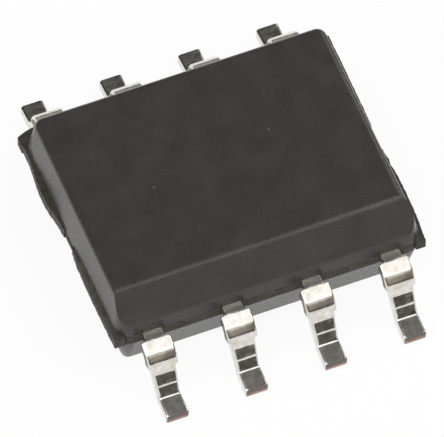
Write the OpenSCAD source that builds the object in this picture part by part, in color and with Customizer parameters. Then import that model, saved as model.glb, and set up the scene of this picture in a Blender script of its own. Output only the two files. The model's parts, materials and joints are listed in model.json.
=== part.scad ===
// Eight-lead narrow small-outline chip package.
// The origin is on the seating plane under the middle of the body. X runs along
// the rows of leads, Y across them and Z up. Leads 1 to 4 stand on the bevelled
// -Y side from -X to +X, and leads 5 to 8 on the +Y side from +X to -X.

/* [Body] */
// Length of the moulded body between its end walls, without flash
body_length = 4.9; // [4.8:0.02:5]
// Width of the moulded body at the level of the leads
body_width = 3.9; // [3.8:0.02:4]
// Thickness of the moulded body
body_thickness = 1.45; // [1.4:0.01:1.55]
// Height of the body's underside over the seating plane
standoff = 0.15; // [0.1:0.01:0.25]
// Draft of the walls above the leads, in degrees
upper_draft = 11; // [7:0.5:13]
// Draft of the walls below the leads, in degrees
lower_draft = 14.5; // [8:0.5:15]
// Radius of the corners of the flat underside
corner_radius = 0.02; // [0.01:0.005:0.06]
// Radius of the edges of the top face
top_edge_radius = 0.1; // [0.04:0.01:0.12]
// Radius of the edges of the underside
bottom_edge_radius = 0.1; // [0.04:0.01:0.1]
// Width that the bevel takes from the top face
bevel_width = 0.35; // [0.25:0.01:0.45]
// Slope of the bevel, in degrees
bevel_angle = 45; // [40:1:50]

/* [Leads] */
// Distance between the middles of neighbouring leads
lead_pitch = 1.27; // [1.25:0.01:1.29]
// Distance over the toes of both rows
lead_span = 6; // [5.9:0.02:6.2]
// Thickness of the lead frame
lead_thickness = 0.2; // [0.17:0.01:0.23]
// Width of a lead where it leaves the body
root_width = 0.33; // [0.28:0.01:0.4]
// Width of a lead over the stub left by the cut dam bar
stub_width = 0.47; // [0.42:0.01:0.55]
// Width of a lead's riser and foot
foot_width = 0.36; // [0.31:0.01:0.41]
// Straight length of a lead between the body and its first bend
shoulder_length = 0.1; // [0.06:0.01:0.14]
// Inner radius of the first, tight part of the shoulder's bend
shoulder_radius = 0.1; // [0.07:0.01:0.13]
// Angle turned by the first part of the shoulder's bend, in degrees
shoulder_angle = 44; // [40:1:48]
// Inner radius of the second, slack part of the shoulder's bend
riser_radius = 0.4; // [0.3:0.01:0.45]
// Angle turned by the second part of the shoulder's bend, in degrees
riser_angle = 28; // [24:1:30]
// Inner radius of the bend at the heel
heel_radius = 0.07; // [0.05:0.01:0.1]
// Slope of the foot down to its toe, in degrees
foot_angle = 5; // [1:0.5:8]
// Heading at which the dam bar's stub starts, in degrees below level
stub_start_angle = 28; // [24:1:34]
// Heading at which the dam bar's stub ends, in degrees below level
stub_end_angle = 50; // [49:1:54]

/* [Inner leads] */
// Distance from the body's wall to the shoulders that lock a finger in
lock_depth = 0.2; // [0.15:0.01:0.25]
// Width of a finger inside the body
finger_width = 0.46; // [0.42:0.01:0.5]
// Gap between a finger and the die paddle
finger_gap = 0.2; // [0.15:0.01:0.24]
// Width of the bonding end of a corner finger
corner_end_width = 0.4; // [0.34:0.01:0.44]
// Length of the bonding end of a corner finger
corner_end_length = 0.5; // [0.4:0.01:0.55]

/* [Paddle and die] */
// Length of the die paddle
paddle_length = 2.5; // [2.4:0.02:2.6]
// Width of the die paddle
paddle_width = 1.7; // [1.6:0.02:1.76]
// Radius of the die paddle's corners
paddle_corner_radius = 0.1; // [0.05:0.01:0.2]
// Distance that the die paddle is pushed below the leads
paddle_downset = 0.12; // [0.08:0.01:0.2]
// Width of a tie bar
tie_bar_width = 0.38; // [0.3:0.01:0.44]
// Distance from the paddle's end to the step in its tie bar
tie_bar_level = 0.15; // [0.1:0.01:0.3]
// Length of the silicon die
die_length = 1.8; // [1.7:0.02:1.9]
// Width of the silicon die
die_width = 1.3; // [1.2:0.02:1.34]
// Thickness of the silicon die
die_thickness = 0.25; // [0.2:0.01:0.28]
// Thickness of the die-attach adhesive
attach_thickness = 0.03; // [0.02:0.005:0.04]
// Width of the rim of adhesive round the die
attach_rim = 0.06; // [0.03:0.01:0.08]

/* [Bond wires] */
// Diameter of a bond wire
wire_diameter = 0.03; // [0.025:0.001:0.036]
// Diameter of the ball at the die end of a wire
ball_diameter = 0.08; // [0.07:0.005:0.09]
// Height of the ball
ball_height = 0.025; // [0.02:0.005:0.03]
// Radius of the wire's loop over the ball
loop_radius = 0.12; // [0.1:0.01:0.15]
// Length of the stitch at the finger end of a wire
stitch_length = 0.12; // [0.1:0.01:0.14]
// Width of the stitch
stitch_width = 0.07; // [0.05:0.01:0.08]
// Height of the stitch
stitch_height = 0.045; // [0.04:0.001:0.05]
// Distance from a bond's middle to the edge that it sits behind
bond_inset = 0.12; // [0.1:0.01:0.14]
// Distance of the inner bonds from the die's middle
inner_bond_x = 0.35; // [0.3:0.01:0.4]
// Distance of the corner bonds from the die's long axis
corner_bond_y = 0.35; // [0.3:0.01:0.4]

/* [Flash] */
// Reach of the flash beyond the end wall at -X
left_flash = 0.08; // [0.04:0.01:0.1]
// Reach of the flash beyond the end wall at +X
right_flash = 0.085; // [0.04:0.005:0.1]
// Reach of the flash beyond the +Y wall at the two corners there
corner_flash = 0.15; // [0.05:0.01:0.17]
// Gap between that flash and the side of the last lead
flash_gap = 0.03; // [0.01:0.01:0.06]

/* [Hidden] */

leads_per_side = 4;
all_leads = [1 : 2 * leads_per_side];
half_length = body_length / 2;
half_width = body_width / 2;

// Levels
body_base = standoff;
body_top = standoff + body_thickness;
lead_mid = standoff + body_thickness / 2;
lead_top = lead_mid + lead_thickness / 2;
lead_under = lead_mid - lead_thickness / 2;
paddle_top = lead_top - paddle_downset;
die_base = paddle_top + attach_thickness;
die_top = die_base + die_thickness;

// Half width of the top face between sharp edges, across the leads
top_half_width = half_width - (body_top - lead_top) * tan(upper_draft);

// Radii of a lead's bends at the middle of its thickness, and its steepest heading
bend_1 = shoulder_radius + lead_thickness / 2;
bend_2 = riser_radius + lead_thickness / 2;
bend_3 = heel_radius + lead_thickness / 2;
steep = shoulder_angle + riser_angle;

// The straight runs of the riser and the foot follow from the span and the drop:
// two equations in the two lengths, one for Y and one for Z
run_y = (cos(shoulder_angle) + cos(steep)) / 2;
run_z = (sin(shoulder_angle) + sin(steep)) / 2;
left_y = lead_span / 2 - sin(foot_angle) * lead_thickness / 2
    - half_width - shoulder_length
    - bend_1 * sin(shoulder_angle)
    - bend_2 * (sin(steep) - sin(shoulder_angle))
    - bend_3 * (sin(steep) - sin(foot_angle));
left_z = lead_mid - cos(foot_angle) * lead_thickness / 2
    - bend_1 * (1 - cos(shoulder_angle))
    - bend_2 * (cos(shoulder_angle) - cos(steep))
    - bend_3 * (cos(foot_angle) - cos(steep));
mix = run_z * cos(foot_angle) - run_y * sin(foot_angle);
riser_run = (left_z * cos(foot_angle) - left_y * sin(foot_angle)) / mix;
foot_run = (left_y * run_z - left_z * run_y) / mix;

// Ends of the fingers, and where the wires are bonded, for the quarter at +X +Y
inner_end_y = paddle_width / 2 + finger_gap;
corner_end_x = paddle_length / 2 + finger_gap;
corner_end_y = half_width - lock_depth - 2 * corner_end_length;

// A margin by which cuts pass the faces that they open
past = 0.5;
// A bend laps what follows it by this much, so that rounding can't part them
bend_lap = 0.0000004;
// Facets of a whole turn, on large and on small circles, and steps round an edge
smooth = 48;
fine = 24;
edge_steps = 6;

// Lengths that come from angles are kept to a tenth of a micrometre, so that the
// straight walls and the turned corners of the body meet along the same lines
function to_grid(v) = round(v * 10000) / 10000;

// Place of a lead along its row, as seen from outside its own side
function place(n) =
    ((leads_per_side - 1) / 2 - (n - 1) % leads_per_side) * lead_pitch;

// Whether a lead stands at the end of its row
function at_corner(n) = abs(place(n)) > lead_pitch;

// Turns what is drawn for the +Y side round to the side of lead n
module on_side_of(n) {
    rotate([0, 0, n <= leads_per_side ? 180 : 0])
        children();
}

// Mirrors what is drawn for +X to the place of lead n
module on_hand_of(n) {
    mirror([place(n) < 0 ? 1 : 0, 0, 0])
        children();
}

// ---- Moulded body ----

// Draws in a rounded edge of a wall, as [distance in from the lead level's reach, z].
// The wall slopes in by the draft from z = from, and the face it meets is at z = to.
function rounded_edge(from, to, draft, radius) =
    let (
        up = sign(to - from),
        face_in = abs(to - from) * tan(draft) + radius * (1 - sin(draft)) / cos(draft)
    )
    [
        for (i = [0 : edge_steps])
            let (a = draft + (90 - draft) * i / edge_steps)
                [to_grid(face_in - radius * cos(a)), to_grid(to - up * radius * (1 - sin(a)))]
    ];

top_edge = rounded_edge(lead_top, body_top, upper_draft, top_edge_radius);
bottom_edge = rounded_edge(lead_under, body_base, lower_draft, bottom_edge_radius);

// Reach of the turned corners at the level of the leads
corner_reach = corner_radius + max(top_edge[edge_steps][0], bottom_edge[edge_steps][0]);

// Half section of the body from its middle out to a wall at this reach,
// drafted above and below the lead frame, with its two edges rounded
module half_section(reach) {
    polygon(concat(
        [[0, body_top], [0, body_base]],
        [for (i = [edge_steps : -1 : 0]) [reach - bottom_edge[i][0], bottom_edge[i][1]]],
        [[reach, lead_under], [reach, lead_top]],
        [for (p = top_edge) [reach - p[0], p[1]]]
    ));
}

module whole_section(reach) {
    half_section(reach);
    mirror([1, 0])
        half_section(reach);
}

// Body before the bevel: two crossed sections and four turned corners
module drafted_block() {
    corner_x = half_length - corner_reach;
    corner_y = half_width - corner_reach;
    rotate([90, 0, 90])
        linear_extrude(2 * corner_x, center = true)
            whole_section(half_width);
    rotate([90, 0, 0])
        linear_extrude(2 * corner_y, center = true)
            whole_section(half_length);
    for (x = [0, 1], y = [0, 1])
        mirror([x, 0, 0])
            mirror([0, y, 0])
                translate([corner_x, corner_y, 0])
                    rotate_extrude(angle = 90, $fn = smooth)
                        half_section(corner_reach);
}

// Room above the bevel along the -Y edge of the top face
module bevel_cut() {
    translate([0, bevel_width - top_half_width, body_top])
        rotate([bevel_angle, 0, 0])
            translate([-half_length - past, -body_width, 0])
                cube([body_length + 2 * past, body_width, body_width]);
}

// Resin squeezed out between the mould halves along one end, drawn at +X.
// Each outline point is [share of the half width, share of the reach].
module flash(reach, outline) {
    wall = half_length - corner_reach;
    edge = [for (p = outline) [half_length + reach * p[1], half_width * p[0]]];
    first = edge[0];
    last = edge[len(edge) - 1];
    translate([0, 0, lead_under])
        linear_extrude(lead_thickness)
            polygon(concat([[wall, first[1]]], edge, [[wall, last[1]]]));
}

// Resin left in a +Y corner, from the end flash to the side of the last lead
module corner_web(reach) {
    near_lead = place(leads_per_side + 1) + root_width / 2 + flash_gap;
    translate([0, 0, lead_under])
        linear_extrude(lead_thickness)
            polygon([
                [near_lead, half_width - corner_reach],
                [half_length, half_width - corner_reach],
                [half_length + reach, half_width + corner_flash / 2],
                [(near_lead + half_length) / 2, half_width + corner_flash],
                [near_lead, half_width + corner_flash]
            ]);
}

module moulded_body() {
    gap = tie_bar_width / body_width;
    color("#3d3b39")
        difference() {
            union() {
                drafted_block();
                mirror([1, 0, 0]) {
                    flash(left_flash, [
                        [gap, 0.4], [0.26, 0.85], [0.43, 1], [0.62, 0.75],
                        [0.87, 0.55], [0.96, 0.4]
                    ]);
                    flash(left_flash, [
                        [-0.97, 0.4], [-0.82, 0.5], [-0.5, 0.4], [-0.25, 0.3], [-gap, 0.1]
                    ]);
                    corner_web(left_flash * 0.4);
                }
                flash(right_flash, [
                    [gap, 0.35], [0.36, 0.6], [0.78, 0.65], [0.96, 0.5]
                ]);
                flash(right_flash, [
                    [-0.97, 0.5], [-0.87, 0.7], [-0.67, 1], [-0.4, 1],
                    [-0.25, 0.75], [-0.21, 0.5], [-gap, 0.35]
                ]);
                corner_web(right_flash * 0.5);
            }
            bevel_cut();
            for (n = all_leads)
                finger(n);
            paddle_and_bars(half_length + past);
            die_attach_layer();
            die_block();
            for (n = all_leads)
                wire(n);
        }
}

// ---- Leads ----

// A strip of the lead frame is formed along +X from its start, and what follows it
// is drawn from its end as its child

module run(length, width) {
    translate([0, -width / 2, -lead_thickness / 2])
        cube([length, width, lead_thickness]);
    translate([length, 0, 0])
        children();
}

// Bend down by this angle
module bend_down(radius, angle, width) {
    middle = radius + lead_thickness / 2;
    translate([0, 0, -middle]) {
        rotate([90, 0, 0])
            rotate_extrude(angle = angle, start = 90 - angle, $fn = smooth)
                translate([radius, -width / 2])
                    square([lead_thickness, width]);
        rotate([0, angle, 0])
            translate([-bend_lap, 0, middle])
                children();
    }
}

// Bend up by this angle
module bend_up(radius, angle, width) {
    middle = radius + lead_thickness / 2;
    translate([0, 0, middle]) {
        rotate([90, 0, 0])
            rotate_extrude(angle = angle, start = 270, $fn = smooth)
                translate([radius, -width / 2])
                    square([lead_thickness, width]);
        rotate([0, -angle, 0])
            translate([-bend_lap, 0, -middle])
                children();
    }
}

// The lead outside the body: a level shoulder, the bend with the dam bar's wider
// stub, the riser, the heel and the foot
module formed_end() {
    translate([0, half_width, lead_mid])
        rotate([0, 0, 90])
            run(shoulder_length, root_width)
            bend_down(shoulder_radius, stub_start_angle, root_width)
            bend_down(shoulder_radius, shoulder_angle - stub_start_angle, stub_width)
            run(riser_run / 2, stub_width)
            bend_down(riser_radius, stub_end_angle - shoulder_angle, stub_width)
            bend_down(riser_radius, steep - stub_end_angle, foot_width)
            run(riser_run / 2, foot_width)
            bend_up(heel_radius, steep - foot_angle, foot_width)
            run(foot_run, foot_width);
}

// Outline of the level part of a middle lead, from its shoulder inwards
function middle_outline(x) = [
    [x - root_width / 2, half_width + shoulder_length],
    [x - root_width / 2, half_width - lock_depth],
    [x - finger_width / 2, half_width - lock_depth],
    [x - finger_width / 2, inner_end_y],
    [x + finger_width / 2, inner_end_y],
    [x + finger_width / 2, half_width - lock_depth],
    [x + root_width / 2, half_width - lock_depth],
    [x + root_width / 2, half_width + shoulder_length]
];

// Outline of the level part of a corner lead, which turns in to the paddle's end
function corner_outline(x) = [
    [x - root_width / 2, half_width + shoulder_length],
    [x - root_width / 2, half_width - lock_depth],
    [x - finger_width / 2, half_width - lock_depth],
    [corner_end_x, corner_end_y + corner_end_length],
    [corner_end_x, corner_end_y],
    [corner_end_x + corner_end_width, corner_end_y],
    [x + finger_width / 2, corner_end_y + corner_end_length],
    [x + finger_width / 2, half_width - lock_depth],
    [x + root_width / 2, half_width - lock_depth],
    [x + root_width / 2, half_width + shoulder_length]
];

// Level part of lead n, from the end of its shoulder to its bonding end
module finger(n) {
    x = abs(place(n));
    on_side_of(n)
        on_hand_of(n)
            translate([0, 0, lead_under])
                linear_extrude(lead_thickness)
                    polygon(at_corner(n) ? corner_outline(x) : middle_outline(x));
}

module lead(n) {
    color("#d8d6cf") {
        finger(n);
        on_side_of(n)
            translate([place(n), 0, 0])
                formed_end();
    }
}

// ---- Paddle, adhesive and die ----

// Paddle with its two tie bars, which step up to the leads' level
module paddle_and_bars(bar_reach) {
    inner_x = paddle_length / 2 - paddle_corner_radius;
    inner_y = paddle_width / 2 - paddle_corner_radius;
    step_from = paddle_length / 2 + tie_bar_level;
    step_to = step_from + paddle_downset;
    translate([0, 0, paddle_top - lead_thickness])
        linear_extrude(lead_thickness) {
            square([paddle_length, 2 * inner_y], center = true);
            square([2 * inner_x, paddle_width], center = true);
            for (x = [-inner_x, inner_x], y = [-inner_y, inner_y])
                translate([x, y])
                    circle(paddle_corner_radius, $fn = smooth);
        }
    for (turn = [0, 180])
        rotate([90, 0, turn])
            linear_extrude(tie_bar_width, center = true)
                polygon([
                    [0, paddle_top - lead_thickness],
                    [step_from, paddle_top - lead_thickness],
                    [step_to, lead_under],
                    [bar_reach, lead_under],
                    [bar_reach, lead_top],
                    [step_to, lead_top],
                    [step_from, paddle_top],
                    [0, paddle_top]
                ]);
}

module die_paddle() {
    color("#c08a5a")
        paddle_and_bars(half_length);
}

module die_attach_layer() {
    translate([0, 0, paddle_top + attach_thickness / 2])
        cube([die_length + 2 * attach_rim, die_width + 2 * attach_rim, attach_thickness],
            center = true);
}

module die_attach() {
    color("#9a9a9e")
        die_attach_layer();
}

module die_block() {
    translate([0, 0, die_base + die_thickness / 2])
        cube([die_length, die_width, die_thickness], center = true);
}

module silicon_die() {
    color("#5c6070")
        die_block();
}

// ---- Bond wires ----

// Bonds of lead n as [x, y], on the die and on the finger
function die_bond(n) = at_corner(n)
    ? [die_length / 2 - bond_inset, corner_bond_y]
    : [inner_bond_x, die_width / 2 - bond_inset];
function finger_bond(n) = at_corner(n)
    ? [corner_end_x + corner_end_width / 2, corner_end_y + bond_inset]
    : [abs(place(n)), inner_end_y + bond_inset];

// Wire of lead n: a ball, a loop that rises out of it, and a straight slope down
// to the stitch. The loop and the slope are drawn from the point where they meet.
module wire(n) {
    from = die_bond(n);
    to = finger_bond(n);
    reach = norm(to - from);
    foot = die_top + ball_height / 2;
    landing = lead_top + stitch_height / 2;
    // the slope is the tangent from the landing to the circle of the loop
    drop = foot - landing;
    apart = norm([reach - loop_radius, drop]);
    slope = atan2(drop, reach - loop_radius) + asin(loop_radius / apart);
    slope_length = sqrt(pow(apart, 2) - pow(loop_radius, 2));
    on_side_of(n)
        on_hand_of(n)
            translate([from[0], from[1], 0])
                rotate([0, 0, atan2(to[1] - from[1], to[0] - from[0])]) {
                    translate([0, 0, die_top])
                        cylinder(h = ball_height, d = ball_diameter, $fn = fine);
                    translate([
                        loop_radius * (1 + sin(slope)), 0,
                        foot + loop_radius * cos(slope)
                    ])
                        rotate([0, slope, 0]) {
                            translate([0, 0, -loop_radius])
                                rotate([90, 0, 0])
                                    rotate([0, 0, 90])
                                        rotate_extrude(angle = 90 + slope, $fn = smooth)
                                            translate([loop_radius, 0])
                                                circle(d = wire_diameter, $fn = fine);
                            rotate([0, 90, 0])
                                cylinder(h = slope_length, d = wire_diameter, $fn = fine);
                        }
                    translate([reach, 0, landing])
                        cube([stitch_length, stitch_width, stitch_height], center = true);
                }
}

module bond_wire(n) {
    color("#d9b24a")
        wire(n);
}

moulded_body();
lead(1);  // lead_1
lead(2);  // lead_2
lead(3);  // lead_3
lead(4);  // lead_4
lead(5);  // lead_5
lead(6);  // lead_6
lead(7);  // lead_7
lead(8);  // lead_8
die_paddle();
die_attach();
silicon_die();
bond_wire(1);  // bond_wire_1
bond_wire(2);  // bond_wire_2
bond_wire(3);  // bond_wire_3
bond_wire(4);  // bond_wire_4
bond_wire(5);  // bond_wire_5
bond_wire(6);  // bond_wire_6
bond_wire(7);  // bond_wire_7
bond_wire(8);  // bond_wire_8
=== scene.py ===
# %% [markdown]
# # A small microcontroller chip
# The real part is a block of black epoxy resin moulded round a stamped strip of
# copper alloy. Eight plated leads come out of it, bent like a gull's wings. The
# solid model is already packed, so the first cell only loads it and keeps its box.
# Every length below is written in millimetres and made metres when a mesh is kept.

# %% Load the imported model
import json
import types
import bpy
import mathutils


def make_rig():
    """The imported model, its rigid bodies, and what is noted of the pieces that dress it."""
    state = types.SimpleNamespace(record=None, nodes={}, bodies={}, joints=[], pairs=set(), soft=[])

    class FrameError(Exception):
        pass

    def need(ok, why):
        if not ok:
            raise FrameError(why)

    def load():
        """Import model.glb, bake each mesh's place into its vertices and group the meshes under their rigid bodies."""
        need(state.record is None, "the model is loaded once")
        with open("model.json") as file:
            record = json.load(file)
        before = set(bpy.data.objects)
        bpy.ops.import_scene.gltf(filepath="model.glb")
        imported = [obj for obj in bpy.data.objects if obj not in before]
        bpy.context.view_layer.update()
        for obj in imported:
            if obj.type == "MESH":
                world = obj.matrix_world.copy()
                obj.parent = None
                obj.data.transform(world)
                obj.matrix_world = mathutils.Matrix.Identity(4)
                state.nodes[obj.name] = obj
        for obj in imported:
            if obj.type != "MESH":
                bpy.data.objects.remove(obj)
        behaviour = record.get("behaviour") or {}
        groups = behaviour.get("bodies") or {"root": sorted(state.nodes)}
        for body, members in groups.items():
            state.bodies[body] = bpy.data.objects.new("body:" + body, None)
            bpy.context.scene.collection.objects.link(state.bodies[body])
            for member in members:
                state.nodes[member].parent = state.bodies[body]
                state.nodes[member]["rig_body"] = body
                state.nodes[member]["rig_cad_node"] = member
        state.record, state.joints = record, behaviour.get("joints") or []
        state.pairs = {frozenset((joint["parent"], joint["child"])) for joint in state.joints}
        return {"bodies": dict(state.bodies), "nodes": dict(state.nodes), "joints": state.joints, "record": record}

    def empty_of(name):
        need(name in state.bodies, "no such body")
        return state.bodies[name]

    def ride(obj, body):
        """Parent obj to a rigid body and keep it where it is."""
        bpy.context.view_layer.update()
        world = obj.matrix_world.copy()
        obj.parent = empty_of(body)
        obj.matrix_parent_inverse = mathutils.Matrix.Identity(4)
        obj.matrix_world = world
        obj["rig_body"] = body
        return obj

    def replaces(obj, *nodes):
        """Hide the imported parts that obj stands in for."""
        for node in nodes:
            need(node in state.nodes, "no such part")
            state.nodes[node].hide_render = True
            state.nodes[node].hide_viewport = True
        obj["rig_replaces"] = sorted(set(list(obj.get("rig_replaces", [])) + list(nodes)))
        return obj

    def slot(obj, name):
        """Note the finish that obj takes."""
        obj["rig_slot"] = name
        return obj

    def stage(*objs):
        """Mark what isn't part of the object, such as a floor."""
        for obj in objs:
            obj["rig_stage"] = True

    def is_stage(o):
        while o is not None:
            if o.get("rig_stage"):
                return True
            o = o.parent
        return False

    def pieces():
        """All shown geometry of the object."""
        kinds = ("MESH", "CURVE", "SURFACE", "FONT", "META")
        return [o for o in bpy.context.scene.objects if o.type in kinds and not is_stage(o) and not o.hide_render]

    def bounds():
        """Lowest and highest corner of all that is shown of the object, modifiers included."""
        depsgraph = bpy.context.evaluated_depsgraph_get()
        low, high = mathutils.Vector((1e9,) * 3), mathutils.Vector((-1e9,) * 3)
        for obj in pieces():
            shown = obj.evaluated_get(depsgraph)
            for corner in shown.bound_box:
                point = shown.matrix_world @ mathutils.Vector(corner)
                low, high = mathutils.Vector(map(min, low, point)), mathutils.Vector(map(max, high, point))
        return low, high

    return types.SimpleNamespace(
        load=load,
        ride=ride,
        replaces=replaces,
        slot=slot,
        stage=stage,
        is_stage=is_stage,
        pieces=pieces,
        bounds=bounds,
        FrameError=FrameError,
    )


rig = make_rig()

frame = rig.load()

import json
import math

import bmesh
import bpy
from mathutils import Matrix, Vector, noise

MM = 0.001
cad_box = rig.bounds()
print("solids", len(frame["nodes"]))
print("box in mm", [[round(v / MM, 3) for v in corner] for corner in cad_box])

# %% [markdown]
# ## The camera
# A small part is looked at from far off through a long lens, which keeps its edges
# nearly parallel. The camera is turned first and then set back along its own axis,
# so that its angle and its aim can be changed one at a time.

# %% Place the camera
CAMERA_AZIMUTH = -21.62
CAMERA_ELEVATION = 56.18
CAMERA_DISTANCE = 270
VIEW_WIDTH = 6.6417
AIM_HEIGHT = 0.8
AIM_RIGHT = -0.0114
AIM_UP = -0.3358
SENSOR_WIDTH = 36
CLIP_NEAR, CLIP_FAR = 10, 5000


def camera_axes(azimuth, elevation):
    """Returns the picture's right, its up and the way back to the camera."""
    a, e = math.radians(azimuth), math.radians(elevation)
    back = Vector((math.sin(a) * math.cos(e), -math.cos(a) * math.cos(e), math.sin(e)))
    right = Vector((math.cos(a), math.sin(a), 0))
    return right, back.cross(right), back


right, up, back = camera_axes(CAMERA_AZIMUTH, CAMERA_ELEVATION)
aim = Vector((0, 0, AIM_HEIGHT)) + right * AIM_RIGHT + up * AIM_UP
set_back = Matrix.Translation((aim + back * CAMERA_DISTANCE) * MM)
turned = Matrix((right, up, back)).transposed().to_4x4()
camera = bpy.data.objects.new("camera", bpy.data.cameras.new("camera"))
camera.matrix_world = set_back @ turned
camera.data.sensor_width = SENSOR_WIDTH
camera.data.lens = SENSOR_WIDTH * CAMERA_DISTANCE / VIEW_WIDTH
camera.data.clip_start = CLIP_NEAR * MM
camera.data.clip_end = CLIP_FAR * MM
bpy.context.scene.collection.objects.link(camera)
bpy.context.scene.camera = camera
bpy.context.scene.view_settings.view_transform = "Standard"
print("camera", [round(v, 4) for v in camera.location], "lens", round(camera.data.lens))

# %% [markdown]
# ## Tools for meshes
# A bmesh is Blender's mesh while it is being worked on. Each piece below is made in
# millimetres in the place where it belongs, so its object can stay at the origin.
# Keeping a piece merges its doubles, turns its faces outwards and makes it metres.

# %% Keep a finished bmesh as a piece of the chip
MERGE_DISTANCE = 0.0002
BROAD = 0.15
print("faces of more than", BROAD, "square mm stay flat to their rims")


def keep(bm, name, slot, node, materials, sharp=35):
    """Makes bm an object that rides on the chip and stands for this node.

    An edge is sharp when it turns more than `sharp` degrees, or when it borders a
    broad face, which stays flat to its very rim that way.
    """
    bmesh.ops.remove_doubles(bm, verts=bm.verts, dist=MERGE_DISTANCE)
    bmesh.ops.recalc_face_normals(bm, faces=bm.faces)
    bm.normal_update()
    for face in bm.faces:
        face.smooth = True
    broad = {face for face in bm.faces if face.calc_area() > BROAD}
    for edge in bm.edges:
        edge.smooth = (edge.is_manifold and edge.calc_face_angle() < math.radians(sharp)
                       and not broad.intersection(edge.link_faces))
    bmesh.ops.scale(bm, vec=(MM, MM, MM), verts=bm.verts)
    mesh = bpy.data.meshes.new(name)
    bm.to_mesh(mesh)
    bm.free()
    piece = bpy.data.objects.new(name, mesh)
    bpy.context.scene.collection.objects.link(piece)
    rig.ride(piece, "root")
    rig.slot(piece, slot)
    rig.replaces(piece, node)
    for material in materials:
        mesh.materials.append(material)
    print(name, "has", len(mesh.polygons), "faces")


def corners_of(geometry):
    """The vertices among some geometry."""
    return [v for v in geometry if isinstance(v, bmesh.types.BMVert)]


# %% [markdown]
# ## Finishes shared by the pieces
# A pattern on such a small part has to be as small as the part, so every pattern is
# read from Object coordinates turned from metres into millimetres. Two patterns are
# used by more than one material, and each is a node group that is built once: a
# cloudy mottling, and fine scratches that run one way.

# %% Start a material or a group
print("the packed model brings", len(bpy.data.materials), "plain materials")


def new_material(name):
    """Starts an empty node material and returns it with its nodes and links."""
    material = bpy.data.materials.new(name)
    material.use_nodes = True
    material.node_tree.nodes.clear()
    return material, material.node_tree.nodes, material.node_tree.links


def new_group(name, numbers, outputs):
    """Starts a node group with number inputs, given their defaults, and its outputs."""
    group = bpy.data.node_groups.new(name, "ShaderNodeTree")
    for label, default in numbers.items():
        socket = group.interface.new_socket(label, in_out="INPUT", socket_type="NodeSocketFloat")
        socket.default_value = default
    for label in outputs:
        group.interface.new_socket(label, in_out="OUTPUT", socket_type="NodeSocketFloat")
    given = group.nodes.new("NodeGroupInput")
    result = group.nodes.new("NodeGroupOutput")
    return group, group.nodes, group.links, given, result


def use_group(nodes, group, **numbers):
    """Places a group in a material with its own values."""
    node = nodes.new("ShaderNodeGroup")
    node.node_tree = group
    for label, value in numbers.items():
        node.inputs[label.replace("_", " ")].default_value = value
    return node


# %% Read places in millimetres and work with numbers
print("a pattern's coordinates are", round(1 / MM), "times the object's")


def millimetres(nodes, links):
    """Object coordinates in millimetres."""
    place = nodes.new("ShaderNodeTexCoord")
    scale = nodes.new("ShaderNodeMapping")
    scale.inputs["Scale"].default_value = (1 / MM, 1 / MM, 1 / MM)
    links.new(place.outputs["Object"], scale.inputs["Vector"])
    return scale.outputs["Vector"]


def maths(nodes, links, operation, *values):
    """A Math node that is fed by sockets or by plain numbers."""
    node = nodes.new("ShaderNodeMath")
    node.operation = operation
    for socket, value in zip(node.inputs, values):
        if isinstance(value, bpy.types.NodeSocket):
            links.new(value, socket)
        else:
            socket.default_value = value
    return node.outputs[0]


# %% [markdown]
# ## Mottling
# Filled resin is never one even black, and plating is never one even grey: both are
# a little cloudy, and the resin has a fine grit and a few pale grains of filler.
# The clouds and the grit are noises. The grains are a Voronoi pattern, where each
# cell draws a random number and only the cells with the lowest get a speck.

# %% Mottling: clouds, grit and rare pale specks
SPECK_RIM, SPECK_CORE = 0.11, 0.04
mottling, nodes, links, given, result = new_group(
    "mottling", {"Cloud size": 0.8, "Grit size": 0.03, "Speck size": 0.2, "Speck share": 0.03},
    ["Clouds", "Grit", "Specks"])
at = millimetres(nodes, links)


def noise_of(size, detail, roughness, seed):
    """A noise whose scale is one over the given size, from its own part of the pattern."""
    shift = nodes.new("ShaderNodeVectorMath")
    shift.inputs[1].default_value = (seed, 2 * seed, 3 * seed)
    links.new(at, shift.inputs[0])
    texture = nodes.new("ShaderNodeTexNoise")
    texture.inputs["Detail"].default_value = detail
    texture.inputs["Roughness"].default_value = roughness
    links.new(shift.outputs[0], texture.inputs["Vector"])
    links.new(maths(nodes, links, "DIVIDE", 1, size), texture.inputs["Scale"])
    return texture.outputs["Fac"]


clouds = noise_of(given.outputs["Cloud size"], detail=4, roughness=0.6, seed=1)
grit = noise_of(given.outputs["Grit size"], detail=2, roughness=0.5, seed=5)
cells = nodes.new("ShaderNodeTexVoronoi")
links.new(at, cells.inputs["Vector"])
links.new(maths(nodes, links, "DIVIDE", 1, given.outputs["Speck size"]), cells.inputs["Scale"])
drawn = nodes.new("ShaderNodeSeparateColor")
links.new(cells.outputs["Color"], drawn.inputs["Color"])
picked = maths(nodes, links, "LESS_THAN", drawn.outputs["Red"], given.outputs["Speck share"])
near = nodes.new("ShaderNodeMapRange")
near.inputs["From Min"].default_value = SPECK_RIM
near.inputs["From Max"].default_value = SPECK_CORE
links.new(cells.outputs["Distance"], near.inputs["Value"])
specks = maths(nodes, links, "MULTIPLY", picked, near.outputs["Result"])
links.new(clouds, result.inputs["Clouds"])
links.new(grit, result.inputs["Grit"])
links.new(specks, result.inputs["Specks"])
print(mottling.name, "has", len(nodes), "nodes")

# %% [markdown]
# ## Tool marks
# The tools that cut and bend the strip drag fine scratches along it. A noise turns
# into scratches when its coordinates are squeezed along one direction, so that it
# changes slowly that way. The leads run along Y and Z, so those two are squeezed.

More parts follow.
